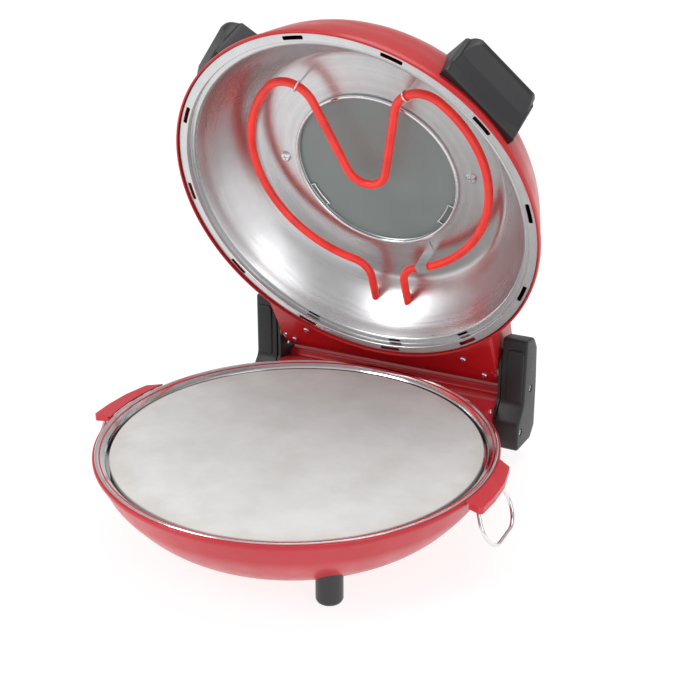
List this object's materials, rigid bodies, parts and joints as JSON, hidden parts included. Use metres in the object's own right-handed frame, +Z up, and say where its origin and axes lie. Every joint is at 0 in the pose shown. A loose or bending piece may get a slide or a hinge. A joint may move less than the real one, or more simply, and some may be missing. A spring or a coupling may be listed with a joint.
{
  "type": "electric pizza maker",
  "caption": "Countertop pizza oven: round bowl base with a baking stone on short feet, and a domed lid with window and heating tube on a rear hinge.",
  "frame": {"origin": "on the table plane, under the middle of the part's bounding box with the lid open", "axes": "+Z up, +Y towards the hinge at the back, +X to the object's right seen from the front"},
  "size_m": [0.3752, 0.404, 0.4055],
  "materials": {
    "red_enamel": "smooth gloss enamel",
    "pan_steel": "polished pressed steel",
    "stone": "fine matt ceramic",
    "heater_dark": "oxidised sheath",
    "heater_glow": "glowing sheath",
    "liner_steel": "satin pressed steel",
    "bright_wire": "bright drawn wire",
    "screw_steel": "bright plated",
    "inlet_brass": "plated brass",
    "black_plastic": "fine moulded grain",
    "foot_plastic": "moulded",
    "glass": "clear toughened",
    "bracket_black": "black coated steel",
    "gasket": "silicone",
    "ceramic": "glazed ceramic",
    "thermostat_case": "moulded",
    "fibre": "pressed fibre",
    "dial": "satin",
    "lamp": "translucent lens",
    "sheath": "heat-resistant sheath"
  },
  "bodies": {
    "base": {"base_bowl": "red_enamel", "steel_pan": "pan_steel", "baking_stone": "stone", "lower_element": "heater_dark", "lower_element_brackets": "liner_steel", "pan_screws": "screw_steel", "feet": "foot_plastic", "foot_screws": "screw_steel", "side_tabs": "red_enamel", "rear_housing": "red_enamel", "rear_deck": "red_enamel", "deck_rivets": "screw_steel", "rear_back_plate": "red_enamel", "back_plate_screws": "screw_steel", "power_inlet": "black_plastic", "inlet_pins": "inlet_brass", "terminal_block": "ceramic", "base_wiring": "sheath", "hinge_bracket_right": "bracket_black", "hinge_bracket_left": "bracket_black", "bracket_rivets": "screw_steel", "hinge_cover_right": "black_plastic", "hinge_cover_left": "black_plastic", "hinge_cover_screws": "screw_steel"},
    "lid": {"lid_shell": "red_enamel", "lid_liner": "liner_steel", "window_sleeve": "pan_steel", "inner_glass": "glass", "outer_glass": "glass", "glass_gasket": "gasket", "window_bezel": "pan_steel", "window_ring": "pan_steel", "ring_clips": "bright_wire", "upper_element": "heater_glow", "element_clips": "bright_wire", "element_bracket": "liner_steel", "liner_screws": "screw_steel", "element_bushes": "ceramic", "lid_handle_right": "black_plastic", "lid_handle_left": "black_plastic", "handle_screws": "screw_steel", "hinge_housing": "red_enamel", "housing_bottom_plate": "red_enamel", "bottom_plate_screws": "screw_steel", "lid_hinge_plates": "liner_steel", "hinge_pins": "screw_steel", "friction_washers": "fibre", "thermostat_body": "thermostat_case", "thermostat_screws": "screw_steel", "dial_plate": "dial", "pilot_lamp": "lamp", "lid_wiring": "sheath"},
    "knob": {"thermostat_knob": "black_plastic", "thermostat_spindle": "screw_steel"},
    "bail_right": {"wire_bail_right": "bright_wire"},
    "bail_left": {"wire_bail_left": "bright_wire"}
  },
  "joints": [
    {"name": "lid_hinge", "type": "hinge", "parent": "base", "child": "lid", "pos_m": [-0.00439, 0.14463, 0.0877], "axis": [-1, 0, 0], "range_deg": [-67.5, 0]},
    {"name": "knob_turn", "type": "hinge", "parent": "lid", "child": "knob", "pos_m": [-0.00439, 0.18641, 0.10782], "axis": [0, -0.9239, -0.3827], "range_deg": [0, 270]},
    {"name": "bail_right_swing", "type": "hinge", "parent": "base", "child": "bail_right", "pos_m": [0.17061, -0.03797, 0.0666], "axis": [0, -1, 0], "range_deg": [-56, 23]},
    {"name": "bail_left_swing", "type": "hinge", "parent": "base", "child": "bail_left", "pos_m": [-0.17939, -0.03797, 0.0666], "axis": [0, 1, 0], "range_deg": [-38, 41]}
  ]
}
